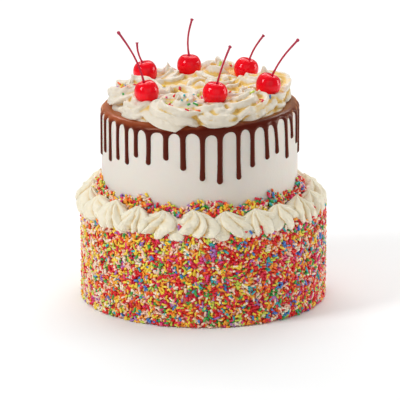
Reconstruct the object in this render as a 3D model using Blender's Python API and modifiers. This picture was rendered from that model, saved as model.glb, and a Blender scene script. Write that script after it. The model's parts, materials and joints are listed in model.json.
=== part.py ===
"""Two-tier celebration cake: sprinkled lower tier, iced upper tier with dripping
ganache, a piped border, a heap of whipped cream and six cherries on stems.

Metres, Z up. The origin is the middle of the flat underside. The front faces -Y.
"""
import math
import random

import bmesh
import bpy
from mathutils import Matrix, Vector

MM = 0.001
GAP = 0.3 * MM
MERGE = 0.00002
SEED = 20

# Lower tier: a ten inch cake, iced and then rolled in sprinkles
LOWER_HEIGHT = 113.0 * MM
LOWER_ICED_RADIUS = 125.5 * MM
LOWER_SHOULDER = 8.0 * MM
COAT_TOP = 88.0 * MM
COAT_FADE = 5.0 * MM
COAT_THIN = 1.0 * MM
COAT_THICK = 4.5 * MM
COAT_SPREAD = 1.0 * MM
COAT_COLUMNS = 120
COAT_ROWS = 14

# Upper tier: an eight inch cake, set a little to the left, its top slightly sloping
UPPER_RADIUS = 103.2 * MM
UPPER_SHOULDER = 6.0 * MM
UPPER_TOP = 206.0 * MM
UPPER_OFFSET = -3.9 * MM
UPPER_STEPS = 60
TOP_SLOPE = 0.0243
BANK_HEIGHT = 11.0 * MM
BANK_WIDTH = 5.2 * MM
BANK_SPRINKLES = 38

# Rod sprinkles
SPRINKLE_RADIUS = 1.2 * MM
SPRINKLE_LENGTH = 6.0 * MM
SPRINKLE_SIDES = 4

# Ganache cap and its drips; angles are counted from the front towards +X
CAP_THICKNESS = 2.3 * MM
CAP_EDGE = 200.5 * MM
DRIP_HALF_WIDTH = 2.9 * MM
DRIP_FLARE = 5.6 * MM
DRIP_FLARE_DEPTH = 6.5 * MM
DRIP_SIDES = 5
FRONT_DRIPS = (
    (-82, 157), (-72, 164), (-64, 158), (-55, 163), (-47, 161), (-39.5, 171), (-31, 165),
    (-19.6, 172), (-9.7, 162), (1.5, 151), (11.7, 147), (22.7, 150), (31.7, 161),
    (42, 166), (50, 169), (60.5, 160), (67.5, 178), (77, 169), (84, 156),
)
BACK_DRIP_SPACING = (8.0, 11.5)
BACK_DRIP_TIPS = (148.0, 176.0)

# Piped border on the edge of the lower tier
BORDER_COUNT = 23
BORDER_OFFSET = -2.6 * MM
BORDER_RADIUS = 121.5 * MM
BORDER_HEIGHT = 104.5 * MM
BORDER_LEAN = math.radians(15)
BORDER_WIDEN = 1.62
BORDER_LOBES = 6
BORDER_RIDGE = 0.2
BORDER_TWIST = math.radians(38)
BORDER_FIRST = math.radians(-1.8)
CLEARANCE_STEPS = 30
DOLLOP_PROFILE = (
    (0.0, 22.0), (3.2, 18.0), (9.8, 8.0), (13.2, -4.0), (9.5, -11.0), (0.0, -12.5),
)

# Whipped cream heap and its swirls
HEAP_CENTRE = (-4.0 * MM, -8.0 * MM)
SWIRL_RING = 66.5 * MM
SWIRL_LOBES = 5
SWIRL_RIDGE = 0.22
SWIRL_TWIST = math.radians(65)
SWIRL_PROFILE = (
    (0.0, 1.0), (0.42, 0.84), (1.0, 0.38), (0.9, 0.0), (0.0, 0.0),
)
TALL_SWIRL = (31.0 * MM, 30.0 * MM)
SEAT_SWIRL = (30.0 * MM, 23.0 * MM)
MIDDLE_SWIRL = (30.0 * MM, 24.0 * MM)
SEAT_INSET = 5.0 * MM
TALL_SWIRL_ANGLES = (-150, -92, -20, 46, 103, 162)
MIDDLE_SWIRLS = ((-30, 18), (10, -22), (28, 20))
BED_RADIUS = 66.0 * MM
BED_HEIGHT = 13.0 * MM
CREAM_SPRINKLES = 12

# Cherries: angle and distance round the heap's middle, then the stem's reach along
# X and Y, its rise and its bend
CHERRY_RADIUS = 12.6 * MM
CHERRY_CENTRE = 27.0 * MM
CHERRY_SIDES = 10
STEM_RADIUS = 0.9 * MM
CHERRIES = (
    (-129.0, 74.0, -7.0, 5.0, 22.0, -2.0),
    (-52.5, 69.0, -27.0, -8.0, 57.0, 4.0),
    (-171.0, 72.0, 3.0, 9.0, 40.0, -3.0),
    (16.0, 57.5, 14.0, -7.0, 43.0, -1.0),
    (135.0, 69.5, 16.0, 6.0, 27.0, -2.0),
    (72.0, 75.0, 28.0, -4.0, 41.0, -3.0),
)


def clear_scene():
    """Remove every object that the scene starts with."""
    for obj in list(bpy.data.objects):
        bpy.data.objects.remove(obj, do_unlink=True)


def new_collection(name):
    """Return a new collection under the scene."""
    collection = bpy.data.collections.new(name)
    bpy.context.scene.collection.children.link(collection)
    return collection


def new_material(name, colour, roughness):
    """Return a plain Principled material."""
    material = bpy.data.materials.new(name)
    material.use_nodes = True
    shader = material.node_tree.nodes["Principled BSDF"]
    shader.inputs["Base Color"].default_value = (*colour, 1.0)
    shader.inputs["Roughness"].default_value = roughness
    shader.inputs["Metallic"].default_value = 0.0
    return material


def place(mesh, name, collection, material):
    """Put a mesh in the collection as a smooth-shaded object of its own."""
    obj = bpy.data.objects.new(name, mesh)
    collection.objects.link(obj)
    mesh.materials.clear()
    mesh.materials.append(material)
    mesh.shade_smooth()
    mesh.set_sharp_from_angle(angle=math.radians(50))
    return obj


def bake(obj):
    """Return the object's evaluated mesh, cleaned, and remove the object."""
    bpy.context.view_layer.update()
    depsgraph = bpy.context.evaluated_depsgraph_get()
    mesh = bpy.data.meshes.new_from_object(obj.evaluated_get(depsgraph))
    bpy.data.objects.remove(obj, do_unlink=True)
    bm = bmesh.new()
    bm.from_mesh(mesh)
    bmesh.ops.remove_doubles(bm, verts=bm.verts, dist=MERGE / 4)
    bmesh.ops.recalc_face_normals(bm, faces=bm.faces)
    bm.to_mesh(mesh)
    bm.free()
    return mesh


def turned_mesh(name, profile, steps):
    """Turn a profile of (radius, height) points, listed from top to bottom, about Z."""
    outline = bpy.data.meshes.new(name)
    points = [(radius, 0.0, height) for radius, height in profile]
    edges = [(index, index + 1) for index in range(len(points) - 1)]
    outline.from_pydata(points, edges, [])
    blank = bpy.data.objects.new(name, outline)
    bpy.context.scene.collection.objects.link(blank)
    screw = blank.modifiers.new("Turn", "SCREW")
    screw.steps = steps
    screw.render_steps = steps
    screw.use_merge_vertices = True
    screw.merge_threshold = MERGE
    return bake(blank)


def reshape(mesh, rule):
    """Move every point of a mesh to where the rule puts it."""
    for vertex in mesh.vertices:
        vertex.co = rule(vertex.co.copy())


def polar(angle, radius):
    """Return x and y of a place counted from the front towards +X."""
    return radius * math.sin(angle), -radius * math.cos(angle)


def arc_points(centre_radius, centre_height, radius, count):
    """Return a quarter round from the top of a shoulder down to its side."""
    points = []
    for index in range(count + 1):
        turn = math.pi / 2 * index / count
        points.append((centre_radius + radius * math.sin(turn), centre_height + radius * math.cos(turn)))
    return points


def lean_top(point):
    """Slope whatever stands on the lower tier, more and more towards the top."""
    share = (point.z - LOWER_HEIGHT) / (UPPER_TOP - LOWER_HEIGHT)
    share = min(max(share, 0.0), 1.0)
    return Vector((point.x + UPPER_OFFSET, point.y, point.z + TOP_SLOPE * point.x * share))


def keep_main_body(mesh):
    """Drop loose scraps and fill sealed hollows: only the largest shell stays."""
    bm = bmesh.new()
    bm.from_mesh(mesh)
    waiting = set(bm.verts)
    shells = []
    while waiting:
        shell = set()
        edge_of_shell = [waiting.pop()]
        while edge_of_shell:
            vertex = edge_of_shell.pop()
            shell.add(vertex)
            for edge in vertex.link_edges:
                other = edge.other_vert(vertex)
                if other in waiting:
                    waiting.remove(other)
                    edge_of_shell.append(other)
        shells.append(shell)
    main_shell = max(shells, key=len)
    scraps = [vertex for shell in shells if shell is not main_shell for vertex in shell]
    bmesh.ops.delete(bm, geom=scraps, context="VERTS")
    bm.to_mesh(mesh)
    bm.free()


def fuse(target, pieces, solver="MANIFOLD"):
    """Join the objects of a collection to the target in one Boolean, then remove them."""
    union = target.modifiers.new("Fuse", "BOOLEAN")
    union.operation = "UNION"
    union.operand_type = "COLLECTION"
    union.collection = pieces
    union.solver = solver
    name = target.name
    home = target.users_collection[0]
    material = target.data.materials[0]
    mesh = bake(target)
    keep_main_body(mesh)
    for obj in list(pieces.objects):
        bpy.data.objects.remove(obj, do_unlink=True)
    bpy.data.collections.remove(pieces)
    return place(mesh, name, home, material)


def cut(target, cutter):
    """Cut a clearance out of the target."""
    difference = target.modifiers.new("Clear", "BOOLEAN")
    difference.operation = "DIFFERENCE"
    difference.object = cutter
    difference.solver = "EXACT"


def as_cutter(mesh, name, cutters):
    """Put a mesh among the cutters, where only its outline shows."""
    obj = bpy.data.objects.new(name, mesh)
    cutters.objects.link(obj)
    obj.hide_render = True
    obj.display_type = "WIRE"
    return obj


def sprinkle(place_at, along, collection, material):
    """Make one rod sprinkle with its middle at a place and its length along a direction."""
    bm = bmesh.new()
    bmesh.ops.create_cone(
        bm, cap_ends=True, segments=SPRINKLE_SIDES, radius1=SPRINKLE_RADIUS,
        radius2=SPRINKLE_RADIUS, depth=SPRINKLE_LENGTH,
    )
    turn = Vector((0, 0, 1)).rotation_difference(along).to_matrix().to_4x4()
    bmesh.ops.transform(bm, matrix=Matrix.Translation(place_at) @ turn, verts=bm.verts)
    mesh = bpy.data.meshes.new("sprinkle")
    bm.to_mesh(mesh)
    bm.free()
    return place(mesh, "sprinkle", collection, material)


def wall_direction(angle, tilt):
    """Return a direction that lies along an upright round wall, tilted from the level."""
    level = Vector((math.cos(angle), math.sin(angle), 0.0))
    return level * math.cos(tilt) + Vector((0, 0, 1)) * math.sin(tilt)


def ridged(profile, steps, lobes, depth, twist, height):
    """Turn a piped mound and press the star tip's ridges into it, with their twist."""
    mesh = turned_mesh("mound", profile, steps)

    def rule(point):
        angle = math.atan2(point.y, point.x)
        groove = 0.5 - 0.5 * math.cos(lobes * angle)
        radius = math.hypot(point.x, point.y) * (1 - depth * groove)
        angle += twist * point.z / height
        return Vector((radius * math.cos(angle), radius * math.sin(angle), point.z))

    reshape(mesh, rule)
    return mesh


def lower_tier_profile():
    """Return the lower tier's outline with a row of points for each band of sprinkles."""
    profile = [(0.0, LOWER_HEIGHT)]
    profile += arc_points(
        LOWER_ICED_RADIUS - LOWER_SHOULDER, LOWER_HEIGHT - LOWER_SHOULDER, LOWER_SHOULDER, 1
    )
    profile.append((LOWER_ICED_RADIUS, COAT_TOP + COAT_FADE))
    for row in range(COAT_ROWS + 1):
        profile.append((LOWER_ICED_RADIUS + COAT_THIN, COAT_TOP * (1 - row / COAT_ROWS)))
    profile.append((0.0, 0.0))
    return profile


def make_lower_tier(home, material, rng):
    """Make the lower tier, its side covered in bumps the size of the sprinkles."""
    mesh = turned_mesh("lower_tier", lower_tier_profile(), COAT_COLUMNS)
    row_step = COAT_TOP / COAT_ROWS
    column_step = math.tau / COAT_COLUMNS

    def bump(point):
        radius = math.hypot(point.x, point.y)
        if point.z > COAT_TOP + MERGE or radius < LOWER_ICED_RADIUS:
            return point
        angle = math.atan2(point.y, point.x)
        raised = (round(angle / column_step) + round(point.z / row_step)) % 2
        spread = rng.uniform(0.0, COAT_SPREAD)
        coat = COAT_THICK - spread if raised else COAT_THIN + 1.5 * spread
        radius = LOWER_ICED_RADIUS + coat
        angle += column_step * rng.uniform(-0.3, 0.3)
        height = point.z
        if MERGE < height < COAT_TOP - MERGE:
            height += row_step * rng.uniform(-0.3, 0.3)
        return Vector((radius * math.cos(angle), radius * math.sin(angle), height))

    reshape(mesh, bump)
    split_along_valleys(mesh)
    tier = place(mesh, "lower_tier", home, material)
    mesh.shade_flat()
    return tier


def split_along_valleys(mesh):
    """Split each four-sided face between its two lower corners, so that bumps stand apart."""
    bm = bmesh.new()
    bm.from_mesh(mesh)
    for face in [face for face in bm.faces if len(face.verts) == 4]:
        a, b, c, d = face.verts
        reach = [math.hypot(corner.co.x, corner.co.y) for corner in (a, b, c, d)]
        pair = (a, c) if reach[0] + reach[2] < reach[1] + reach[3] else (b, d)
        bmesh.utils.face_split(face, *pair)
    bm.to_mesh(mesh)
    bm.free()


def upper_tier_profile():
    """Return the upper tier's outline with the bank of sprinkles at its foot."""
    foot = LOWER_HEIGHT + GAP
    profile = [(0.0, UPPER_TOP)]
    profile += arc_points(UPPER_RADIUS - UPPER_SHOULDER, UPPER_TOP - UPPER_SHOULDER, UPPER_SHOULDER, 2)
    profile.append((UPPER_RADIUS, foot + BANK_HEIGHT))
    profile.append((UPPER_RADIUS + 0.5 * BANK_WIDTH, foot + 0.5 * BANK_HEIGHT))
    profile.append((UPPER_RADIUS + BANK_WIDTH, foot))
    profile.append((0.0, foot))
    return profile


def make_upper_tier(home, material, rng):
    """Make the iced upper tier with sprinkles banked against its foot."""
    mesh = turned_mesh("upper_tier", upper_tier_profile(), UPPER_STEPS)
    foot = LOWER_HEIGHT + GAP

    def bump(point):
        radius = math.hypot(point.x, point.y)
        if point.z > foot + BANK_HEIGHT + MERGE or radius < UPPER_RADIUS - MERGE:
            return point
        share = (radius - UPPER_RADIUS) / BANK_WIDTH
        out = 1 + rng.uniform(-1.2, 0.9) * MM * share / radius
        height = point.z
        if height > foot + MERGE:
            height += rng.uniform(-1.8, 2.4) * MM
        return Vector((point.x * out, point.y * out, height))

    reshape(mesh, bump)
    tier = place(mesh, "upper_tier", home, material)
    pieces = new_collection("bank_sprinkles")
    for index in range(BANK_SPRINKLES):
        angle = math.tau * (index + rng.uniform(-0.3, 0.3)) / BANK_SPRINKLES
        up = rng.uniform(0.3, 1.15)
        out = UPPER_RADIUS + 0.8 * BANK_WIDTH * max(1 - up, 0.0) + 0.3 * SPRINKLE_RADIUS
        spot = Vector((*polar(angle, out), foot + BANK_HEIGHT * up))
        sprinkle(spot, wall_direction(angle, rng.uniform(-0.5, 0.5)), pieces, material)
    tier = fuse(tier, pieces)
    reshape(tier.data, lean_top)
    return tier


def cap_profile():
    """Return the outline of the thin ganache cap, outside first and then inside."""
    inner = UPPER_RADIUS + GAP
    outer = inner + CAP_THICKNESS
    round_height = UPPER_TOP - UPPER_SHOULDER
    outside = arc_points(inner - UPPER_SHOULDER, round_height, UPPER_SHOULDER + CAP_THICKNESS, 2)
    inside = arc_points(inner - UPPER_SHOULDER, round_height, UPPER_SHOULDER + GAP, 2)
    profile = [(0.0, UPPER_TOP + CAP_THICKNESS)] + outside[:-1]
    profile.append((outer - 0.4 * MM, CAP_EDGE))
    profile.append((inner, CAP_EDGE))
    profile += list(reversed(inside))[1:]
    profile.append((0.0, UPPER_TOP + GAP))
    return profile


def drip_angles_and_tips(rng):
    """Return every drip: those at the front as they show, and a like run at the back."""
    drips = [(math.radians(angle), tip * MM) for angle, tip in FRONT_DRIPS]
    angle = FRONT_DRIPS[-1][0] + rng.uniform(*BACK_DRIP_SPACING)
    last = FRONT_DRIPS[0][0] + 360 - BACK_DRIP_SPACING[0]
    while angle < last:
        drips.append((math.radians(angle), rng.uniform(*BACK_DRIP_TIPS) * MM))
        angle += rng.uniform(*BACK_DRIP_SPACING)
    return drips


def drip_mesh(angle, tip):
    """Make one drip: flared under the cap, flat against the icing, rounded at its tip."""
    top = CAP_EDGE + 1.2 * MM
    profile = (
        (0.0, top), (DRIP_FLARE, top), (DRIP_HALF_WIDTH, top - DRIP_FLARE_DEPTH),
        (DRIP_HALF_WIDTH, tip + DRIP_HALF_WIDTH), (0.0, tip),
    )
    mesh = turned_mesh("drip", profile, DRIP_SIDES)
    wall = UPPER_RADIUS + 1.5 * GAP
    x, y = polar(angle, wall)
    face = Matrix.Rotation(angle - math.pi / 2, 4, "Z")

    def rule(point):
        thick = min(max(point.x, -0.5 * MM), CAP_THICKNESS)
        point = face @ Vector((thick, point.y, point.z)) + Vector((x, y, 0.0))
        radius = math.hypot(point.x, point.y)
        grow = max(wall / radius, 1.0)
        return Vector((point.x * grow, point.y * grow, point.z))

    reshape(mesh, rule)
    return mesh


def make_ganache(home, material, rng):
    """Make the ganache cap with all its drips."""
    mesh = turned_mesh("ganache", cap_profile(), UPPER_STEPS)
    cap = place(mesh, "ganache", home, material)
    pieces = new_collection("drips")
    for angle, tip in drip_angles_and_tips(rng):
        place(drip_mesh(angle, tip), "drip", pieces, material)
    cap = fuse(cap, pieces)
    reshape(cap.data, lean_top)
    return cap


def border_angles(rng):
    """Return the dollops' places round the edge, a little uneven."""
    step = math.tau / BORDER_COUNT
    return [BORDER_FIRST + step * (index + rng.uniform(-0.07, 0.07)) for index in range(BORDER_COUNT)]


def keep_between(point, low, high):
    """Hold a point between two upright planes through the ring's middle, half a gap inside."""
    for angle, side in ((low, 1.0), (high, -1.0)):
        normal = Vector((math.cos(angle) * side, math.sin(angle) * side, 0.0))
        short = GAP / 2 - point.dot(normal)
        if short > 0:
            point = point + normal * short
    return point


def border_clearance(cutters):
    """Make the cutter that keeps the border off the lower tier."""
    facet = 1 / math.cos(math.pi / CLEARANCE_STEPS)
    iced = LOWER_ICED_RADIUS * facet + GAP
    top = LOWER_HEIGHT + GAP
    coat = (LOWER_ICED_RADIUS + COAT_THICK) * facet + GAP
    profile = [(0.0, top)]
    profile += arc_points(iced - LOWER_SHOULDER, top - LOWER_SHOULDER, LOWER_SHOULDER, 1)
    profile += [(iced, COAT_TOP + COAT_FADE + GAP), (coat, COAT_TOP + GAP), (coat, -20 * MM), (0.0, -20 * MM)]
    mesh = turned_mesh("border_clearance", profile, CLEARANCE_STEPS)
    return as_cutter(mesh, "border_clearance", cutters)


def make_border(home, cutters, material, rng):
    """Pipe the ring of dollops over the edge of the lower tier."""
    clearance = border_clearance(cutters)
    angles = border_angles(rng)
    profile = [(radius * MM, height * MM) for radius, height in DOLLOP_PROFILE]
    length = profile[0][1] - profile[-1][1]
    for index, angle in enumerate(angles):
        before = angles[index - 1] - (math.tau if index == 0 else 0.0)
        after = angles[(index + 1) % BORDER_COUNT] + (math.tau if index == BORDER_COUNT - 1 else 0.0)
        low = (before + angle) / 2
        high = (after + angle) / 2
        twist = BORDER_TWIST * rng.uniform(0.3, 1.2)
        mesh = ridged(profile, 2 * BORDER_LOBES, BORDER_LOBES, BORDER_RIDGE, twist, length)
        size = rng.uniform(0.95, 1.06)
        x, y = polar(angle, BORDER_RADIUS)
        grow = Matrix.Diagonal((size, BORDER_WIDEN, size, 1.0))
        lean = Matrix.Rotation(-BORDER_LEAN + rng.uniform(-0.05, 0.05), 4, "Y")
        face = Matrix.Rotation(angle - math.pi / 2, 4, "Z")
        spot = Matrix.Translation((x, y, BORDER_HEIGHT + rng.uniform(-0.8, 0.8) * MM))
        matrix = spot @ face @ lean @ grow
        reshape(mesh, lambda point: keep_between(matrix @ point, low, high))
        reshape(mesh, lambda point: point + Vector((BORDER_OFFSET, 0.0, 0.0)))
        dollop = place(mesh, f"border_{index + 1:02d}", home, material)
        cut(dollop, clearance)


def cherry_places():
    """Return each cherry's middle above the sloping top of the cap."""
    places = []
    for degrees, distance, *_ in CHERRIES:
        x, y = polar(math.radians(degrees), distance * MM)
        spot = Vector((HEAP_CENTRE[0] + x - UPPER_OFFSET, HEAP_CENTRE[1] + y, UPPER_TOP))
        spot = lean_top(spot)
        spot.z += CAP_THICKNESS + CHERRY_CENTRE
        places.append(spot)
    return places


def cream_swirl(size, spot, turn, collection, material, rng):
    """Pipe one swirl of the heap."""
    radius, height = size
    radius *= rng.uniform(0.95, 1.08)
    height *= rng.uniform(0.93, 1.06)
    profile = [(share * radius, rise * height) for share, rise in SWIRL_PROFILE]
    mesh = ridged(profile, 2 * SWIRL_LOBES, SWIRL_LOBES, SWIRL_RIDGE, SWIRL_TWIST, height)
    matrix = Matrix.Translation(spot) @ Matrix.Rotation(turn, 4, "Z")
    reshape(mesh, lambda point: matrix @ point)
    return place(mesh, "swirl", collection, material)


def strew_cream(heap, centre, material, rng):
    """Drop a few sprinkles on the heap, each half sunk where it lands."""
    pieces = new_collection("cream_sprinkles")
    bpy.context.view_layer.update()
    reach = SWIRL_RING + 0.5 * TALL_SWIRL[0]
    for index in range(CREAM_SPRINKLES):
        share = (index + 0.5) / CREAM_SPRINKLES
        x, y = polar(math.tau * (index * 0.381966 % 1.0), reach * math.sqrt(share))
        above = centre + Vector((x, y, 2 * TALL_SWIRL[1]))
        hit, spot, normal, _ = heap.ray_cast(above, Vector((0, 0, -1)))
        if hit:
            along = normal.cross(Vector((rng.uniform(-1, 1), rng.uniform(-1, 1), 0.3))).normalized()
            sprinkle(spot, along, pieces, material)
    return fuse(heap, pieces)


def make_cream(home, cutters, material, rng):
    """Heap the cream from swirls, scatter its sprinkles and leave seats for the cherries."""
    floor = UPPER_TOP + CAP_THICKNESS + GAP
    centre = Vector((HEAP_CENTRE[0] - UPPER_OFFSET, HEAP_CENTRE[1], floor))
    bed_profile = [(0.0, BED_HEIGHT), (BED_RADIUS, BED_HEIGHT), (BED_RADIUS, 0.0), (0.0, 0.0)]
    bed_mesh = turned_mesh("top_cream", bed_profile, 24)
    reshape(bed_mesh, lambda point: point + centre)
    heap = place(bed_mesh, "top_cream", home, material)
    pieces = new_collection("swirls")
    ring = [(degrees, TALL_SWIRL, SWIRL_RING) for degrees in TALL_SWIRL_ANGLES]
    ring += [(degrees, SEAT_SWIRL, distance * MM - SEAT_INSET) for degrees, distance, *_ in CHERRIES]
    for degrees, size, distance in ring:
        x, y = polar(math.radians(degrees), distance)
        turn = rng.uniform(0, math.tau)
        cream_swirl(size, centre + Vector((x, y, 0.0)), turn, pieces, material, rng)
    for x, y in MIDDLE_SWIRLS:
        spot = centre + Vector((x * MM, y * MM, 0.0))
        cream_swirl(MIDDLE_SWIRL, spot, rng.uniform(0, math.tau), pieces, material, rng)
    heap = fuse(heap, pieces)
    heap = strew_cream(heap, centre, material, rng)
    reshape(heap.data, lean_top)
    for index, spot in enumerate(cherry_places()):
        bm = bmesh.new()
        bmesh.ops.create_uvsphere(bm, u_segments=10, v_segments=7, radius=CHERRY_RADIUS * 1.06)
        bmesh.ops.translate(bm, vec=spot, verts=bm.verts)
        seat = bpy.data.meshes.new("seat")
        bm.to_mesh(seat)
        bm.free()
        cut(heap, as_cutter(seat, f"cherry_seat_{index + 1}", cutters))
    return heap


def make_cherries(home, fruit_material, stem_material):
    """Make the cherries, each with a dimple and a bent stem with a knobbed tip."""
    radius = CHERRY_RADIUS
    profile = [
        (0.0, 0.72 * radius), (0.2 * radius, 0.78 * radius), (0.5 * radius, 0.88 * radius),
        (0.86 * radius, 0.52 * radius), (radius, 0.0), (0.84 * radius, -0.52 * radius),
        (0.48 * radius, -0.86 * radius), (0.0, -0.97 * radius),
    ]
    for index, spot in enumerate(cherry_places()):
        _, _, reach, depth, rise, bend = CHERRIES[index]
        tilt = Matrix.Rotation(math.atan2(reach, rise) * 0.6, 4, "Y")
        matrix = Matrix.Translation(spot) @ tilt
        mesh = turned_mesh("cherry", profile, CHERRY_SIDES)
        reshape(mesh, lambda point: matrix @ point)
        place(mesh, f"cherry_{index + 1}", home, fruit_material)
        start = matrix @ Vector((0.0, 0.0, 0.72 * radius + 2 * GAP))
        end = start + Vector((reach, depth, rise)) * MM
        make_stem(f"stem_{index + 1}", start, end, bend * MM, home, stem_material)


def make_stem(name, start, end, bend, home, material):
    """Make one stem as a bent tube that widens at its tip."""
    curve = bpy.data.curves.new(name, "CURVE")
    curve.dimensions = "3D"
    curve.bevel_depth = STEM_RADIUS
    curve.bevel_resolution = 1
    curve.use_fill_caps = True
    spline = curve.splines.new("POLY")
    shares = (0.0, 0.33, 0.66, 0.93, 1.0)
    widths = (1.0, 0.85, 0.9, 1.15, 1.6)
    spline.points.add(len(shares) - 1)
    for point, share, width in zip(spline.points, shares, widths):
        spot = start.lerp(end, share)
        spot.x += bend * math.sin(math.pi * share)
        point.co = (*spot, 1.0)
        point.radius = width
    tube = bpy.data.objects.new(name, curve)
    bpy.context.scene.collection.objects.link(tube)
    mesh = bake(tube)
    return place(mesh, name, home, material)


def main():
    """Build the whole cake."""
    clear_scene()
    rng = random.Random(SEED)
    home = new_collection("two_tier_cake")
    cutters = new_collection("cutters")
    sprinkled = new_material("sprinkled_icing", (0.62, 0.30, 0.16), 0.55)
    icing = new_material("white_icing", (0.72, 0.68, 0.61), 0.5)
    ganache = new_material("ganache", (0.09, 0.02, 0.012), 0.2)
    cream = new_material("whipped_cream", (0.82, 0.74, 0.58), 0.45)
    piped = new_material("piped_border", (0.80, 0.74, 0.62), 0.45)
    fruit = new_material("cherry_skin", (0.70, 0.008, 0.015), 0.12)
    stem = new_material("cherry_stem", (0.35, 0.03, 0.06), 0.4)
    make_lower_tier(home, sprinkled, rng)
    make_upper_tier(home, icing, rng)
    make_ganache(home, ganache, rng)
    make_border(home, cutters, piped, rng)
    make_cream(home, cutters, cream, rng)
    make_cherries(home, fruit, stem)


main()
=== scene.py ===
"""Looks of a two-tier celebration cake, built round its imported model.

Metres, Z up. The origin is the middle of the flat underside. The front faces -Y.
"""

import json
import math

import bmesh
import bpy
import numpy as np
from bpy.props import FloatProperty, FloatVectorProperty, IntProperty, PointerProperty
from mathutils import Matrix, Vector, noise
from mathutils.bvhtree import BVHTree

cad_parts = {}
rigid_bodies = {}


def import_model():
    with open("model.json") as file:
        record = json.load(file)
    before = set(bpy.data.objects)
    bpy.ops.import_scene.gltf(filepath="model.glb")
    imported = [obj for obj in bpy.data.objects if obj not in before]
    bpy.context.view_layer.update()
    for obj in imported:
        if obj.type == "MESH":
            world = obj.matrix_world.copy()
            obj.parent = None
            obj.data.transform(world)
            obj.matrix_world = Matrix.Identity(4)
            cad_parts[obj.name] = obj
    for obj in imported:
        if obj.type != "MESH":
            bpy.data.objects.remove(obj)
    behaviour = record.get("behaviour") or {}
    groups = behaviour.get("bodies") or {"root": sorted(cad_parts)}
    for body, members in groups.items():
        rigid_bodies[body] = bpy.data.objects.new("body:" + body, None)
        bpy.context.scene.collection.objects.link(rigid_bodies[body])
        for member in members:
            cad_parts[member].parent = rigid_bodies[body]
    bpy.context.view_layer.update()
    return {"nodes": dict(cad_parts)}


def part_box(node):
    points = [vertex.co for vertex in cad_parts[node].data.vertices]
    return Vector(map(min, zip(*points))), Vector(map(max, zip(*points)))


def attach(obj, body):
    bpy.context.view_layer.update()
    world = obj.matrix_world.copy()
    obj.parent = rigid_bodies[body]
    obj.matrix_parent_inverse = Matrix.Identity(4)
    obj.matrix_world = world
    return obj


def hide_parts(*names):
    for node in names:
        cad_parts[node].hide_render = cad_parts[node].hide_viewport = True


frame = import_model()

bl_info = {
    "name": "Two-Tier Cake",
    "version": (1, 0, 0),
    "blender": (4, 5, 0),
    "location": "View3D > Sidebar > Cake",
    "description": "Dresses a two-tier cake with sprinkles, piping, ganache, cream and cherries",
    "category": "Add Mesh",
}

MM = 0.001
MERGE = 0.00002
BODY = "root"

# In these tables angles are degrees from the front towards +X, and lengths are millimetres.

# Shift of the upper tier along X, and the slope of its top, down towards -X
UPPER_OFFSET = -3.9 * MM
TOP_SLOPE = 0.0243

# Ganache drips round the front: angle, height of the tip, and how far the tip strays towards +X
FRONT_DRIPS = (
    (-82, 157, 0), (-72, 164, 0), (-64, 158, 0), (-55, 163, 0), (-47, 161, 0.5), (-39.5, 171, 0),
    (-31, 165, 0), (-19.6, 172, 0), (-9.7, 162, 0.5), (1.5, 151, 0), (11.7, 147, 0),
    (22.7, 150, 0.8), (31.7, 161, 0.5), (41.4, 166, 2.5), (49, 169, 3.5), (59.5, 160, 3.5),
    (66.5, 178, 3), (76.5, 169, 1), (84, 156, 0),
)

# Middle of the ring of dollops along X, radius and height of their middles, and the radius
# in millimetres past which their toes are held back
BORDER_OFFSET = -2.6 * MM
BORDER_RADIUS = 117.0 * MM
BORDER_LEVEL = 104.6 * MM
BORDER_LIMIT = 131

# Outline of a piped dollop from under its foot to its tip: reach outwards, reach to each
# side, height
DOLLOP_OUTLINE = (
    (0.0, 0.0, -7.2), (7.0, 9.0, -8.0), (12.6, 18.5, -8.2), (16.2, 24.0, -6.6), (17.4, 25.8, -3.4),
    (17.0, 25.2, 0.6), (15.8, 23.2, 4.2), (13.6, 20.2, 7.6), (10.6, 15.6, 11.0), (7.4, 10.6, 13.8),
    (4.4, 5.8, 16.4), (2.0, 2.2, 18.4), (0.0, 0.0, 19.4),
)

# A dollop's furthest reach inwards, and how square it is from above: 2 is an ellipse
DOLLOP_BACK = 14.0
DOLLOP_SQUARENESS = 2.7

# Middle of the heap on the upper tier's top, before the tier's own shift
HEAP_X = -0.1 * MM
HEAP_Y = -8.0 * MM

# Swirls of the heap: angle and distance round its middle, radius, height
SWIRLS = (
    (-150, 67.5, 30, 36), (-92, 69.5, 31, 36), (-20, 65.5, 31, 31), (46, 67.0, 30, 31),
    (103, 68.5, 32, 37), (162, 66.0, 35, 36), (13, 74, 21, 20), (-56, 76, 21, 20),
    (-129, 69, 27, 24), (-52.5, 64, 28, 23), (-171, 67, 27, 24), (16, 59, 29, 22),
    (135, 65, 27, 24), (72, 68, 27, 23),
    (-59, 36, 30, 25), (151, 24, 30, 25), (126, 34, 30, 25), (30, 22, 28, 23),
)

# Outline of the bed of cream under the swirls: radius, height
BED_OUTLINE = ((0, 0), (70, 0), (68, 11), (50, 15), (0, 16))

# Cherries: angle and distance round the heap's middle, then the stem's reach along
# X and Y, its rise and its bend
CHERRIES = (
    (-129.0, 74.0, -7.0, 5.0, 22.0, -2.0),
    (-52.5, 69.0, -27.0, -8.0, 57.0, 4.0),
    (-171.0, 72.0, 3.0, 9.0, 40.0, -3.0),
    (16.0, 57.5, 14.0, -7.0, 43.0, -1.0),
    (135.0, 69.5, 16.0, 6.0, 27.0, -2.0),
    (72.0, 75.0, 28.0, -4.0, 41.0, -3.0),
)

# Height of a cherry's middle above the cap
CHERRY_RISE = 24.8 * MM

# Outline of a cherry from its foot to the bottom of its dimple: radius and height, as shares
# of its radius
CHERRY_OUTLINE = (
    (0.0, -0.95), (0.35, -0.92), (0.72, -0.7), (0.95, -0.28), (1.0, 0.12), (0.9, 0.5),
    (0.66, 0.8), (0.38, 0.87), (0.17, 0.74), (0.0, 0.62),
)

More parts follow.
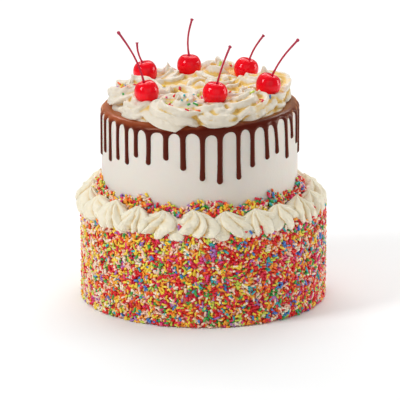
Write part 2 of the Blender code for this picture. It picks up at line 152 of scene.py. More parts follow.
# Share of the sugar rods in each colour, and the colours gathered as painted light: the yellow ones
# more on the lit left, the pale ones there and on both lit edges too
SPRINKLE_SHARES = {
    "red": 0.19, "crimson": 0.085, "magenta": 0.06, "orange": 0.1, "amber": 0.105,
    "yellow": 0.15, "lime": 0.055, "green": 0.075, "teal": 0.042, "blue": 0.03, "lilac": 0.038,
    "pale": 0.13, "white": 0.085,
}
LEFT_LIT_SPRINKLES = ("yellow", "lime", "amber")
EDGE_LIT_SPRINKLES = ("pale", "white")

# Outermost radius of the coat of rods
COAT_LIMIT = 131.0 * MM

# Steps that spread any number of points evenly over a rectangle
EVEN_STEPS = (0.7548776662, 0.5698402910)

# Rods on the cream: how many lie alone, and the groups' angle, distance and count
STRAY_COUNT = 30
STRAY_GROUPS = (
    (-82, 79, 13), (-33, 62, 9), (-10, 78, 12), (62, 56, 14), (47, 88, 7), (-153, 78, 5),
    (147, 78, 5), (-62, 30, 4), (104, 30, 4),
)

# Studio lights, in metres and watts: name, place, width and height, power, colour
LIGHTS = (
    ("key", (-1.35, -0.75, 1.25), (0.5, 0.85), 16.5, (0.95, 0.98, 1.0)),
    ("front", (0.4, -2.6, 1.3), (3.2, 2.2), 13.0, (1.0, 0.97, 0.92)),
    ("above", (0.0, 0.9, 2.6), (2.6, 2.6), 30.0, (1.0, 1.0, 1.0)),
    ("right", (1.8, 0.4, 0.5), (0.9, 0.9), 12.2, (0.92, 0.95, 0.95)),
    ("back", (0.0, 2.6, 2.3), (3.4, 1.0), 40.0, (1.0, 1.0, 1.0)),
)
LIGHTS_AIM = Vector((0.0, 0.0, 0.13))
WORLD_STRENGTH = 0.3

# Camera: the X and Z of the point that it looks at, its distance, how far it looks down, and
# its lens and its sensor's width in millimetres
CAMERA_X = -3.6 * MM
CAMERA_Z = 0.102
CAMERA_DISTANCE = 4.0
CAMERA_DOWN = math.radians(15.5)
CAMERA_LENS = 340.5
CAMERA_SENSOR = 36.0

# Shifts that make three separate noises out of one
JITTER_SHIFTS = (
    Vector((3.1, 41.7, 12.9)), Vector((-27.3, 8.6, 55.2)), Vector((61.8, -19.4, -7.5)),
)


def chart(red, green, blue):
    """Return a colour given in 0 to 255 chart values as linear light."""
    shares = (red / 255, green / 255, blue / 255)
    return tuple(s / 12.92 if s <= 0.04045 else ((s + 0.055) / 1.055) ** 2.4 for s in shares)


def length_property(name, millimetres, description):
    """Return a length property with its default in millimetres."""
    return FloatProperty(name=name, description=description, default=millimetres * MM, min=0.0,
                         unit="LENGTH")


def colour_property(name, red, green, blue, description):
    """Return a colour property with its default in chart values."""
    return FloatVectorProperty(name=name, description=description, default=chart(red, green, blue),
                               subtype="COLOR", size=3, min=0.0, max=1.0)


class CakeSizes(bpy.types.PropertyGroup):
    """Sizes of the cake and its trimmings."""

    lower_radius: length_property("Lower radius", 125.8, "Radius of the lower tier's icing")
    lower_height: length_property("Lower height", 113.0, "Height of the lower tier")
    upper_radius: length_property("Upper radius", 103.2, "Radius of the upper tier's icing")
    upper_top: length_property("Upper top", 206.0, "Height of the upper tier's icing above the floor")
    shoulder: length_property("Shoulder", 6.0, "Rounding of the upper tier's edge")
    sprinkle_radius: length_property("Sprinkle radius", 1.2, "Radius of one sugar rod")
    sprinkle_length: length_property("Sprinkle length", 5.0, "Mean length of one sugar rod")
    coat_count: IntProperty(name="Coat sprinkles", description="Rods on the lower tier's side",
                            default=15000, min=0)
    bank_count: IntProperty(name="Bank sprinkles", description="Rods on the lower tier's top",
                            default=3400, min=0)
    cap_thickness: length_property("Cap thickness", 2.3, "Thickness of the ganache on the top")
    drip_radius: length_property("Drip half width", 2.7, "Half the width of one drip")
    drip_depth: length_property("Drip depth", 2.0, "How far a drip stands off the icing")
    cherry_radius: length_property("Cherry radius", 13.0, "Radius of one cherry")
    stem_radius: length_property("Stem radius", 1.1, "Radius of one stem at its middle")
    cream_detail: length_property("Cream detail", 1.17, "Mesh size of the whipped cream")


class CakeColours(bpy.types.PropertyGroup):
    """Colours of the icing, cream, ganache and fruit."""

    icing: colour_property("Icing", 225, 217, 208, "Smooth icing of the upper tier")
    # Cream and piping are the colours where light falls; the fold colour is painted shade, blended
    # into the folds of the heap and the dollops
    cream: colour_property("Cream", 224, 214, 196, "Whipped cream where it catches light")
    cream_painted_shade: colour_property("Cream shade", 228, 190, 101, "Whipped cream in its folds")
    piping: colour_property("Piping", 236, 227, 204, "Piped border where it catches light")
    ganache: colour_property("Ganache", 78, 13, 6, "Dripping ganache")
    # The ganache top colour is painted light: the lighter brown of the top, most of all on its left,
    # where the light and its sheen fall
    ganache_painted_light: colour_property("Ganache top", 166, 80, 44, "Ganache where it lies thin on the top")
    cherry: colour_property("Cherry", 250, 0, 24, "Skin of the cherries")
    stem: colour_property("Stem", 190, 20, 56, "Stems near the fruit")
    stem_tip: colour_property("Stem tip", 180, 60, 84, "Dried end of the stems")


class SprinkleColours(bpy.types.PropertyGroup):
    """Colours of the sugar rods."""

    red: colour_property("Red", 234, 14, 20, "Red rods")
    crimson: colour_property("Crimson", 228, 14, 56, "Crimson rods")
    magenta: colour_property("Magenta", 240, 56, 126, "Magenta rods")
    orange: colour_property("Orange", 255, 104, 16, "Orange rods")
    amber: colour_property("Amber", 255, 166, 40, "Amber rods")
    yellow: colour_property("Yellow", 255, 220, 60, "Yellow rods")
    lime: colour_property("Lime", 206, 224, 80, "Lime rods")
    green: colour_property("Green", 60, 172, 72, "Green rods")
    teal: colour_property("Teal", 56, 182, 186, "Teal rods")
    blue: colour_property("Blue", 70, 130, 210, "Blue rods")
    lilac: colour_property("Lilac", 180, 116, 190, "Lilac rods")
    pale: colour_property("Pale", 255, 210, 184, "Pale peach rods")
    white: colour_property("White", 255, 238, 212, "Whitish rods")


# Shared helpers

def polar(angle, radius):
    """Return the x and y of a point at an angle from the front, towards +X."""
    return radius * math.sin(angle), -radius * math.cos(angle)


def heap_spot(degrees, distance):
    """Return the x and y of a point given by its angle and distance round the heap's middle."""
    x, y = polar(math.radians(degrees), distance * MM)
    return HEAP_X + x, HEAP_Y + y


def jitter(point):
    """Return a vector of three separate noise values at a point."""
    return Vector([noise.noise(point + shift) for shift in JITTER_SHIFTS])


def chosen(name, group="cake_colours"):
    """Return a colour of one of the scene's property groups."""
    return tuple(getattr(getattr(bpy.context.scene, group), name))


def lean_top(point):
    """Shift a point with the upper tier, which stands a little left and slopes down to the left."""
    sizes = bpy.context.scene.cake_sizes
    share = (point.z - sizes.lower_height) / (sizes.upper_top - sizes.lower_height)
    share = min(max(share, 0.0), 1.0)
    return Vector((point.x + UPPER_OFFSET, point.y, point.z + TOP_SLOPE * point.x * share))


def spline(points, share):
    """Return the point at a share of the way along a smooth line through the points."""
    last = len(points) - 1
    place = min(max(share, 0.0), 1.0) * last
    index = min(int(place), last - 1)
    t = place - index
    before = points[max(index - 1, 0)]
    start = points[index]
    end = points[index + 1]
    after = points[min(index + 2, last)]
    return tuple(
        0.5 * (2 * b + (c - a) * t + (2 * a - 5 * b + 4 * c - d) * t * t
               + (3 * b - a - 3 * c + d) * t ** 3)
        for a, b, c, d in zip(before, start, end, after)
    )


def smoothstep(low, high, value):
    """Return a smooth rise from 0 at low to 1 at high."""
    share = min(max((value - low) / (high - low), 0.0), 1.0)
    return share * share * (3 - 2 * share)


def closed_shell(segments, rings, shape, attribute=None):
    """Return a closed bmesh whose points the shape rule places by turn and share of the way up."""
    bm = bmesh.new()
    bmesh.ops.create_cone(bm, cap_ends=False, segments=segments, radius1=1.0, radius2=1.0, depth=1.0)
    upright = [e for e in bm.edges if abs(e.verts[0].co.z - e.verts[1].co.z) > 0.5]
    bmesh.ops.subdivide_edges(bm, edges=upright, cuts=rings - 1, use_grid_fill=True)
    layer = bm.verts.layers.float.new(attribute) if attribute else None
    ends = [[vert for vert in bm.verts if vert.co.z * side > 0.4999] for side in (-1, 1)]
    for vert in bm.verts:
        turn = math.atan2(vert.co.y, vert.co.x)
        share = vert.co.z + 0.5
        if layer:
            vert[layer] = share
        vert.co = shape(turn, share)
    for end in ends:
        bmesh.ops.pointmerge(bm, verts=end, merge_co=end[0].co)
    bmesh.ops.recalc_face_normals(bm, faces=bm.faces)
    if bm.calc_volume(signed=True) < 0:
        bmesh.ops.reverse_faces(bm, faces=bm.faces)
    return bm


def turned(outline, steps):
    """Spin an outline of radius and height round the Z axis into a closed bmesh."""
    bm = bmesh.new()
    verts = [bm.verts.new((radius, 0.0, height)) for radius, height in outline]
    for start, end in zip(verts, verts[1:]):
        bm.edges.new((start, end))
    bmesh.ops.spin(bm, geom=bm.verts[:] + bm.edges[:], cent=(0, 0, 0), axis=(0, 0, 1),
                   angle=math.tau, steps=steps, use_merge=True)
    bmesh.ops.remove_doubles(bm, verts=bm.verts, dist=MERGE)
    bmesh.ops.recalc_face_normals(bm, faces=bm.faces)
    return bm


def to_mesh(bm, name):
    """Turn a bmesh into a named mesh and free it."""
    mesh = bpy.data.meshes.new(name)
    bm.to_mesh(mesh)
    bm.free()
    return mesh


def new_piece(name, mesh, material, nodes):
    """Show a mesh as a smooth-shaded piece that stands for CAD nodes."""
    mesh.name = name
    obj = bpy.data.objects.new(name, mesh)
    bpy.context.scene.collection.objects.link(obj)
    mesh.materials.clear()
    mesh.materials.append(material)
    mesh.shade_smooth()
    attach(obj, BODY)
    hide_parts(*nodes)
    return obj


def finished(obj):
    """Return the object's mesh with its modifiers applied, and remove the object."""
    bpy.context.view_layer.update()
    graph = bpy.context.evaluated_depsgraph_get()
    mesh = bpy.data.meshes.new_from_object(obj.evaluated_get(graph))
    bpy.data.objects.remove(obj, do_unlink=True)
    return mesh


def mesh_rows(mesh, key):
    """Return a mesh's points, for the key "co", or its normals there, for "normal", as an array."""
    rows = np.empty(len(mesh.vertices) * 3, np.float32)
    mesh.vertices.foreach_get(key, rows)
    return rows.reshape(-1, 3).astype(float)


def mark_grooves(mesh, rounds, depth):
    """Store how deep each point lies in a fold, as the attribute from which the cream's colour paints
    shade into the folds.
    """
    points = mesh_rows(mesh, "co")
    edges = np.empty(len(mesh.edges) * 2, np.int32)
    mesh.edges.foreach_get("vertices", edges)
    first, second = edges.reshape(-1, 2).T
    count = len(points)
    links = np.bincount(first, minlength=count) + np.bincount(second, minlength=count)
    links = np.maximum(links, 1)
    soft = points.copy()
    for _ in range(rounds):
        total = np.zeros_like(soft)
        for axis in range(3):
            total[:, axis] = np.bincount(first, soft[second, axis], count)
            total[:, axis] += np.bincount(second, soft[first, axis], count)
        soft = total / links[:, None]
    sunk = ((soft - points) * mesh_rows(mesh, "normal")).sum(1) / depth
    groove = mesh.attributes.new("groove", "FLOAT", "POINT")
    groove.data.foreach_set("value", np.clip(0.5 + 0.5 * sunk, 0, 1).astype(np.float32))


# Materials

def new_material(name, colour, roughness, **inputs):
    """Return a Principled material and its shader."""
    material = bpy.data.materials.new(name)
    material.use_nodes = True
    shader = material.node_tree.nodes["Principled BSDF"]
    shader.inputs["Base Color"].default_value = (*colour, 1.0)
    shader.inputs["Roughness"].default_value = roughness
    for key, value in inputs.items():
        shader.inputs[key.replace("_", " ")].default_value = value
    return material, shader


def add_node(material, kind, **settings):
    """Add a node to a material, with its properties and input values."""
    node = material.node_tree.nodes.new(kind)
    for key, value in settings.items():
        if hasattr(node, key):
            setattr(node, key, value)
        else:
            node.inputs[key.replace("_", " ").title()].default_value = value
    return node


def add_noise(material, scale, detail=3.0):
    """Return a noise node on the object's own coordinates."""
    place = add_node(material, "ShaderNodeTexCoord")
    grain = add_node(material, "ShaderNodeTexNoise", scale=scale, detail=detail)
    material.node_tree.links.new(place.outputs["Object"], grain.inputs["Vector"])
    return grain


def add_place(material, axis):
    """Return the socket that carries one of the object's own coordinates."""
    place = add_node(material, "ShaderNodeTexCoord")
    parts = add_node(material, "ShaderNodeSeparateXYZ")
    material.node_tree.links.new(place.outputs["Object"], parts.inputs[0])
    return parts.outputs[axis]


def add_weighted(material, socket, weight, other=None):
    """Return the socket of one value times a weight, plus another value if one is given."""
    total = add_node(material, "ShaderNodeMath", operation="MULTIPLY_ADD")
    total.inputs[1].default_value = weight
    total.inputs[2].default_value = 0.0
    material.node_tree.links.new(socket, total.inputs[0])
    if other is not None:
        material.node_tree.links.new(other, total.inputs[2])
    return total.outputs[0]


def add_tint(material, shader, factor, colour, other, low, high):
    """Blend the base colour between two colours by a factor, from low to high."""
    links = material.node_tree.links
    spread = add_node(material, "ShaderNodeMapRange")
    spread.inputs["From Min"].default_value = low
    spread.inputs["From Max"].default_value = high
    mix = add_node(material, "ShaderNodeMix", data_type="RGBA")
    mix.inputs[6].default_value = (*colour, 1.0)
    mix.inputs[7].default_value = (*other, 1.0)
    links.new(factor, spread.inputs["Value"])
    links.new(spread.outputs["Result"], mix.inputs["Factor"])
    links.new(mix.outputs[2], shader.inputs["Base Color"])
    return mix


def add_bump(material, shader, grains, distance):
    """Give a material fine relief from one or more noises, each with its share."""
    links = material.node_tree.links
    height = None
    for scale, share in grains:
        grain = add_noise(material, scale)
        height = add_weighted(material, grain.outputs["Fac"], share, height)
    bump = add_node(material, "ShaderNodeBump")
    bump.inputs["Distance"].default_value = distance
    bump.inputs["Strength"].default_value = 1.0
    links.new(height, bump.inputs["Height"])
    links.new(bump.outputs["Normal"], shader.inputs["Normal"])


def mixed(colour, other, share):
    """Return a colour part of the way towards another."""
    return tuple(a + (b - a) * share for a, b in zip(colour, other))


def icing_material():
    """Return smooth buttercream, faintly mottled."""
    icing = chosen("icing")
    material, shader = new_material("icing", icing, 0.55, Subsurface_Weight=0.25,
                                    Subsurface_Scale=0.004)
    grain = add_noise(material, 38.0)
    mottle = mixed(icing, (0.78, 0.7, 0.58), 0.25)
    add_tint(material, shader, grain.outputs["Fac"], icing, mottle, 0.35, 0.7)
    add_bump(material, shader, ((60.0, 1.0), (420.0, 0.25)), 0.0007)
    return material


def stained_material():
    """Return the lower tier's icing, stained by the sprinkles' dyes on its side, clean on top."""
    dyes = ("orange", "pale", "crimson")
    orange, pale, crimson = (chosen(name, "sprinkle_colours") for name in dyes)
    dye = mixed(orange, pale, 0.3)
    material, shader = new_material("stained_icing", dye, 0.6)
    grain = add_noise(material, 150.0)
    stain = add_tint(material, shader, grain.outputs["Fac"], dye, crimson, 0.35, 0.6)
    level = add_place(material, "Z")
    clean = add_tint(material, shader, level, dye, chosen("piping"), 0.106, 0.109)
    material.node_tree.links.new(stain.outputs[2], clean.inputs[6])
    add_bump(material, shader, ((200.0, 1.0),), 0.0006)
    return material


def cream_material(name, cream, full, lean=(0.0, 0.0)):
    """Return whipped cream, pale on its ridges and yellower in its folds as painted shade,
    fully so at a groove value.

    The lean deepens this painted shade towards the right and the back.
    """
    material, shader = new_material(name, cream, 0.45, Subsurface_Weight=0.35,
                                    Subsurface_Scale=0.004)
    shader.inputs["Subsurface Radius"].default_value = (1.0, 0.9, 0.7)
    fold = add_node(material, "ShaderNodeAttribute", attribute_name="groove")
    mottle = add_noise(material, 34.0, 2.0)
    blend = add_weighted(material, mottle.outputs["Fac"], 0.35, fold.outputs["Fac"])
    for axis, weight in zip("XY", lean):
        blend = add_weighted(material, add_place(material, axis), weight, blend)
    # Painted shade: folds take the yellow fold colour, more so towards the right and the back; the
    # mottling adds random tone
    add_tint(material, shader, blend, cream, chosen("cream_painted_shade"), 0.6, full)
    add_bump(material, shader, ((160.0, 1.0), (600.0, 0.4)), 0.0006)
    return material


def ganache_material():
    """Return set ganache, dark and softly glossy, with painted light: lighter brown on the top, most
    of all on its left, where the light and its sheen fall.
    """
    ganache = chosen("ganache")
    material, shader = new_material("ganache", ganache, 0.24, Specular_IOR_Level=0.22,
                                    Sheen_Weight=0.8, Sheen_Roughness=0.35)
    shader.inputs["Sheen Tint"].default_value = (1.0, 0.42, 0.14, 1.0)
    shader.inputs["Specular Tint"].default_value = (1.0, 0.62, 0.42, 1.0)
    grain = add_noise(material, 55.0)
    # Painted light: higher up, and further to the left, the colour goes to the lighter top colour
    level = add_weighted(material, grain.outputs["Fac"], 0.008, add_place(material, "Z"))
    level = add_weighted(material, add_place(material, "X"), -0.06, level)
    add_tint(material, shader, level, ganache, chosen("ganache_painted_light"), 0.2085, 0.216)
    add_bump(material, shader, ((120.0, 1.0),), 0.0003)
    return material


def cherry_material():
    """Return the translucent glossy skin of a syruped cherry."""
    cherry = chosen("cherry")
    material, shader = new_material("cherry_skin", cherry, 0.08, Subsurface_Weight=0.1,
                                    Subsurface_Scale=0.003, Specular_IOR_Level=0.5)
    shader.inputs["Specular Tint"].default_value = (1.0, 0.5, 0.56, 1.0)
    shader.inputs["Subsurface Radius"].default_value = (1.0, 0.15, 0.1)
    grain = add_noise(material, 90.0)
    deeper = mixed(cherry, (0.3, 0.0, 0.01), 0.35)
    add_tint(material, shader, grain.outputs["Fac"], cherry, deeper, 0.4, 0.75)
    add_bump(material, shader, ((70.0, 1.0),), 0.0002)
    return material


def stem_material():
    """Return a cherry stem, red at the fruit and dry at its end."""
    stem = chosen("stem")
    material, shader = new_material("cherry_stem", stem, 0.42, Specular_IOR_Level=0.25)
    along = add_node(material, "ShaderNodeAttribute", attribute_name="along")
    add_tint(material, shader, along.outputs["Fac"], stem, chosen("stem_tip"), 0.55, 1.0)
    add_bump(material, shader, ((900.0, 1.0),), 0.0002)
    return material


def sprinkle_material(name, colour):
    """Return sugar in one colour, a little uneven and a little shiny."""
    material, shader = new_material(f"sugar_{name}", colour, 0.28, Specular_IOR_Level=0.4)
    grain = add_noise(material, 260.0, 1.0)
    add_tint(material, shader, grain.outputs["Fac"], mixed(colour, (0.0, 0.0, 0.0), 0.12),
             mixed(colour, (1.0, 0.97, 0.9), 0.03), 0.35, 0.65)
    return material


# Pieces

class CAKE_OT_lower_tier(bpy.types.Operator):
    """Ice the lower tier"""

    bl_idname = "cake.lower_tier"
    bl_label = "Lower Tier"

    def execute(self, context):
        """Make the lower tier's icing, uneven as a hand leaves it."""
        sizes = context.scene.cake_sizes
        radius, top = sizes.lower_radius, sizes.lower_height
        levels = (1.5, 12, 24, 36, 48, 60, 72, 84, 96, 105)
        outline = [(0.0, 0.0), (radius - 1.5 * MM, 0.0)]
        outline += [(radius, level * MM) for level in levels]
        outline += [(radius - 2.4 * MM, top - 2.3 * MM), (radius - 8 * MM, top)]
        outline += [(90 * MM, top), (0.0, top)]
        bm = turned(outline, 144)
        for vert in bm.verts:
            wave = noise.noise(vert.co * 30.0) * 0.4 * MM
            out = Vector((vert.co.x, vert.co.y, 0.0)).normalized()
            if vert.co.z > 0.5 * MM:
                vert.co += out * wave
        mesh = to_mesh(bm, "lower_icing")
        new_piece("lower_icing", mesh, stained_material(), ["lower_tier"])
        return {"FINISHED"}


class CAKE_OT_upper_tier(bpy.types.Operator):
    """Ice the upper tier smooth"""

    bl_idname = "cake.upper_tier"
    bl_label = "Upper Tier"

    def execute(self, context):
        """Make the upper tier's icing."""
        sizes = context.scene.cake_sizes
        radius, foot, top = sizes.upper_radius, sizes.lower_height, sizes.upper_top
        shoulder = sizes.shoulder
        rise = top - shoulder - foot
        outline = [(0.0, foot), (radius, foot)]
        outline += [(radius, foot + rise * step / 24) for step in range(1, 25)]
        for step in range(1, 7):
            turn = math.radians(15 * step)
            outline.append((radius - shoulder * (1 - math.cos(turn)),
                            top - shoulder * (1 - math.sin(turn))))
        outline += [(0.0, top)]
        bm = turned(outline, 180)
        for vert in bm.verts:
            out = Vector((vert.co.x, vert.co.y, 0.0))
            if out.length > 50 * MM:
                stretched = Vector((vert.co.x * 22, vert.co.y * 22, vert.co.z * 40))
                vert.co += out.normalized() * noise.noise(stretched) * 0.35 * MM
            vert.co = lean_top(vert.co)
        mesh = to_mesh(bm, "upper_icing")
        new_piece("upper_icing", mesh, icing_material(), ["upper_tier"])
        return {"FINISHED"}


def drip_list(rng):
    """Return every drip's angle, tip height and stray, the front's and then made-up ones behind."""
    drips = [(math.radians(angle), tip * MM, stray * MM) for angle, tip, stray in FRONT_DRIPS]
    angle = FRONT_DRIPS[-1][0] + rng.uniform(8.0, 11.5)
    while angle < 360 + FRONT_DRIPS[0][0] - 6:
        drips.append((math.radians(angle), rng.uniform(148, 176) * MM, rng.uniform(-1.5, 1.5) * MM))
        angle += rng.uniform(8.0, 11.5)
    return drips


def soft_union(first, second, reach):
    """Return the distance to two shapes that run into each other softly."""
    blend = np.clip(0.5 + 0.5 * (second - first) / reach, 0, 1)
    return second + (first - second) * blend - reach * blend * (1 - blend)


class CAKE_OT_ganache(bpy.types.Operator):
    """Pour the ganache over the top and let it drip"""

    bl_idname = "cake.ganache"
    bl_label = "Ganache"

    def execute(self, context):
        """Make the cap and its drips as one skin, closed by a back inside the icing."""
        sizes = context.scene.cake_sizes
        bm = self.skin(np.random.default_rng(7))
        self.close_top(bm)
        wall_top = sizes.upper_top - sizes.shoulder
        drawn = [vert for vert in bm.verts if vert.co.z < wall_top and not vert.is_boundary]
        bmesh.ops.smooth_vert(bm, verts=drawn, factor=0.5,
                              use_axis_x=True, use_axis_y=True, use_axis_z=True)
        bmesh.ops.recalc_face_normals(bm, faces=bm.faces)
        for vert in bm.verts:
            vert.co = lean_top(vert.co)
        obj = bpy.data.objects.new("pour", to_mesh(bm, "pour"))
        context.scene.collection.objects.link(obj)
        wall = obj.modifiers.new("back", "SOLIDIFY")
        wall.thickness = 1.5 * MM
        wall.offset = -1.0
        new_piece("dripping_ganache", finished(obj), ganache_material(), ["ganache"])
        return {"FINISHED"}

    def skin(self, rng):
        """Return the skin over the wall and its rounded edge, cut away where no ganache lies."""
        sizes = bpy.context.scene.cake_sizes
        radius = sizes.upper_radius
        wall_top = sizes.upper_top - sizes.shoulder
        arc = sizes.shoulder * math.pi / 2
        lowest = 143 * MM
        columns = 880
        cell = 0.75 * MM
        rows = int((wall_top - lowest + arc) / cell)
        bm = bmesh.new()
        bmesh.ops.create_grid(bm, x_segments=columns, y_segments=rows, size=0.5)
        verts = list(bm.verts)
        flat = np.array([vert.co[:] for vert in verts])
        turns = (flat[:, 0] + 0.5) * math.tau
        heights = lowest + (flat[:, 1] + 0.5) * (wall_top + arc - lowest)
        gap = self.gaps(rng, turns, heights, wall_top)

        # The skin bulges inside the drips and slips into the icing past their edges
        rim = 0.9 * MM
        inside = np.clip(-gap / sizes.drip_radius, 0, 1)
        depth = sizes.drip_depth * np.sqrt(1 - (1 - inside) ** 2)
        on_top = np.clip((heights - wall_top) / arc, 0, 1)
        depth += (sizes.cap_thickness - sizes.drip_depth) * on_top
        depth = np.where(gap > 0, -np.minimum(gap, rim), depth)

        # Above the wall it bends inwards over the tier's rounded edge
        bend = on_top * math.pi / 2
        over = sizes.shoulder + depth
        bent = heights > wall_top
        reach = np.where(bent, radius - sizes.shoulder + over * np.cos(bend), radius + depth)
        level = np.where(bent, wall_top + over * np.sin(bend), heights)
        for vert, turn, out, up in zip(verts, turns, reach, level):
            vert.co = (*polar(turn, out), up)
        doomed = [vert for vert, away in zip(verts, gap) if away > 1.6 * cell]
        bmesh.ops.delete(bm, geom=doomed, context="VERTS")
        bmesh.ops.remove_doubles(bm, verts=bm.verts, dist=MERGE)
        return bm

    def gaps(self, rng, turns, heights, wall_top):
        """Return how far points of the wall lie outside the ganache, negative inside it."""
        sizes = bpy.context.scene.cake_sizes
        drips = drip_list(rng)
        waves = sum(np.sin(turns * k + rng.uniform(0, 6.3)) for k in (5, 11, 23)) * 0.35 * MM

        # The cap's edge hangs lower at the front, and lowest just right of its middle
        front = np.clip((np.cos(turns) - 0.5) / 0.37, 0, 1)
        sag = 2.2 * np.exp(-(((turns - 0.14 + math.pi) % math.tau - math.pi) / 0.17) ** 2)
        gap = wall_top + (4.4 - 3.0 * front - sag) * MM + waves - heights
        web = 8.0 * MM
        for angle, tip, stray in drips:
            half = sizes.drip_radius * rng.uniform(0.9, 1.08)
            wander = rng.uniform(-0.5, 0.5) * MM
            down = np.clip((wall_top - heights) / (wall_top - tip), 0, 1)
            side = (turns - angle + math.pi) % math.tau - math.pi
            side = side * sizes.upper_radius + wander * np.sin(down * 3.0) - stray * down
            half_here = half * (1 + 0.16 * down ** 6 - 0.06 * np.sin(down * math.pi))
            below = np.maximum(tip + half - heights, 0)
            gap = soft_union(gap, np.hypot(side, below) - half_here, web)
        return gap

    def close_top(self, bm):
        """Carry the skin's upper rim over the tier's top to its middle."""
        sizes = bpy.context.scene.cake_sizes
        top = sizes.upper_top + sizes.cap_thickness
        rim = [e for e in bm.edges
               if e.is_boundary and min(v.co.z for v in e.verts) > top - 0.2 * MM]
        for share in (0.9, 0.6):
            grown = bmesh.ops.extrude_edge_only(bm, edges=rim)["geom"]
            rim = [g for g in grown if isinstance(g, bmesh.types.BMEdge)]
            for vert in {v for e in rim for v in e.verts}:
                vert.co.x *= share
                vert.co.y *= share
        grown = bmesh.ops.extrude_edge_only(bm, edges=rim)["geom"]
        middle = [g for g in grown if isinstance(g, bmesh.types.BMVert)]
        bmesh.ops.pointmerge(bm, verts=middle, merge_co=(0, 0, top))
        loose = [vert for vert in bm.verts if not vert.link_faces]
        bmesh.ops.delete(bm, geom=loose, context="VERTS")


def ridge(place, depth, reaches):
    """Return the share of the full radius at a place counted in ridges, each with its own reach."""
    share = (place % 1.0) ** 0.85
    swell = 0.55 * (1 - abs(2 * share - 1)) + 0.45 * math.sin(math.pi * share)
    own = reaches[int(place // 1) % len(reaches)]
    return 1 - depth * (1 - swell) + (own - 1) * swell


def dollop_angles():
    """Return the angle from the front towards +X of each CAD dollop, in the order of their names."""
    angles = []
    for name in sorted(name for name in frame["nodes"] if name.startswith("border_")):
        low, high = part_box(name)
        middle = (low + high) / 2 - Vector((BORDER_OFFSET, 0.0, 0.0))
        angles.append(math.atan2(middle.x, -middle.y))
    return np.array(angles)


class CAKE_OT_border(bpy.types.Operator):
    """Pipe the ring of dollops over the lower tier's edge"""

    bl_idname = "cake.border"
    bl_label = "Piped Border"

    def execute(self, context):
        """Make each dollop where its CAD node is."""
        rng = np.random.default_rng(31)
        # The piped cream gets painted shade in its folds, fainter than the heap's
        material = cream_material("piped_cream", chosen("piping"), 1.4)
        for index, angle in enumerate(dollop_angles()):
            name = f"border_{index + 1:02d}"
            mesh = to_mesh(self.dollop(rng, angle), name)
            mark_grooves(mesh, 30, 1.7 * MM)
            new_piece(name.replace("border", "dollop"), mesh, material, [name])
        return {"FINISHED"}

    def dollop(self, rng, angle):
        """Return one star-tip dollop, its ridges fanning from the tip to ragged toes."""
        lobes = 7
        twist = math.radians(rng.uniform(10, 85)) * rng.choice((-1.0, 1.0), p=(0.3, 0.7))
        start = rng.uniform(0, math.tau)
        reaches = rng.uniform(0.9, 1.1, lobes)
        drops = rng.uniform(-3.0, 2.2, lobes)
        pull = Vector((rng.uniform(-2.5, 0.5), rng.uniform(-4.5, 2.5), rng.uniform(-3.0, 0.8))) * MM
        seed = Vector((rng.uniform(0, 50), rng.uniform(0, 50), 0.0))
        face = Matrix.Rotation(angle - math.pi / 2, 4, "Z")
        roll = Matrix.Rotation(rng.uniform(-0.12, 0.12), 4, "X")
        x, y = polar(angle, BORDER_RADIUS)
        level = BORDER_LEVEL + rng.uniform(-0.8, 0.8) * MM
        matrix = Matrix.Translation((x + BORDER_OFFSET, y, level)) @ face @ roll
        lowest = min(height for _, _, height in DOLLOP_OUTLINE)
        tall = DOLLOP_OUTLINE[-1][2] - lowest

        def shape(turn, share):
            face_reach, side_reach, height = spline(DOLLOP_OUTLINE, share)
            if math.cos(turn) < 0:
                face_reach = min(face_reach, DOLLOP_BACK)
            if min(face_reach, side_reach) < 0.01:
                return matrix @ (Vector((0.0, 0.0, height)) * MM + pull * (height > 0))
            across = (abs(math.cos(turn) / face_reach) ** DOLLOP_SQUARENESS
                      + abs(math.sin(turn) / side_reach) ** DOLLOP_SQUARENESS)
            radius = across ** (-1 / DOLLOP_SQUARENESS)
            up = max((height - lowest) / tall, 0.0)
            place = (turn + start + twist * up + 0.2 * math.sin(2 * turn + start)) * lobes / math.tau
            swell = ridge(place, 0.36 * smoothstep(0.02, 0.22, share), reaches)
            radius *= swell
            toe = smoothstep(0.05, 0.25, share) * (1 - up) ** 2
            drop = drops[int(place // 1) % lobes] * math.sin(math.pi * (place % 1.0))
            height -= toe * (drop + 12.0 * (swell - 0.85))
            point = Vector((radius * math.cos(turn), radius * math.sin(turn), height)) * MM
            point += pull * up ** 2.2
            point.x += (abs(noise.noise(point * 120 + seed)) * 3.0 - 1.6) * math.cos(turn) * MM
            rough = (jitter(point * 80 + seed) * 1.8 + jitter(point * 260) * 0.6) * MM
            point = matrix @ (point + rough * smoothstep(0.1, 0.3, share) * (1 - 0.6 * up))
            beyond = math.hypot(point.x - BORDER_OFFSET, point.y) / MM - BORDER_LIMIT
            if beyond > 0:
                give = 3.2
                squeeze = (BORDER_LIMIT + give * math.tanh(beyond / give)) / (BORDER_LIMIT + beyond)
                point.x = BORDER_OFFSET + (point.x - BORDER_OFFSET) * squeeze
                point.y *= squeeze
            return point

        return closed_shell(lobes * 16, 48, shape)


def cherry_places():
    """Return each cherry's middle above the sloping top of the cap."""
    sizes = bpy.context.scene.cake_sizes
    places = []
    for degrees, distance, *_ in CHERRIES:
        spot = lean_top(Vector((*heap_spot(degrees, distance), sizes.upper_top)))
        spot.z += sizes.cap_thickness + CHERRY_RISE
        places.append(spot)
    return places


